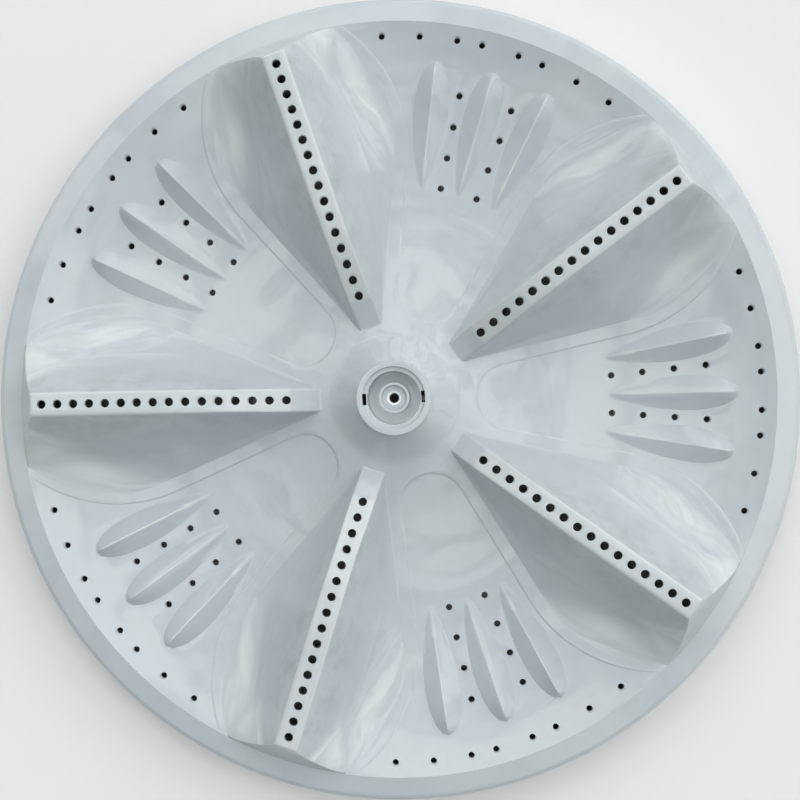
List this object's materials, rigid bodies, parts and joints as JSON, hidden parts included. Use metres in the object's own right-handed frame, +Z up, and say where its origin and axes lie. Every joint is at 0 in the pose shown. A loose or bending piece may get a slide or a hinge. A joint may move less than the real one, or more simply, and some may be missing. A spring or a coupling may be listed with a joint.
{
  "type": "washing machine pulsator",
  "caption": "Round perforated pulsator disc for a top-loading washing machine, with tall hollow vanes, low fins and a splined hub socket, moulded in one piece",
  "frame": {"origin": "On the disc's axis, at the level of the skirt's lower edge, the centre of the bottom of the bounding box", "axes": "+Z up along the disc's axis, out of the washing side; +X through the middle fin of one of the five fin groups"},
  "size_m": [0.342, 0.3414, 0.0441],
  "materials": {
    "pale_plastic": "semi-gloss injection-moulded polypropylene, pale cool grey"
  },
  "bodies": {
    "root": {"pulsator": "pale_plastic"}
  },
  "joints": []
}
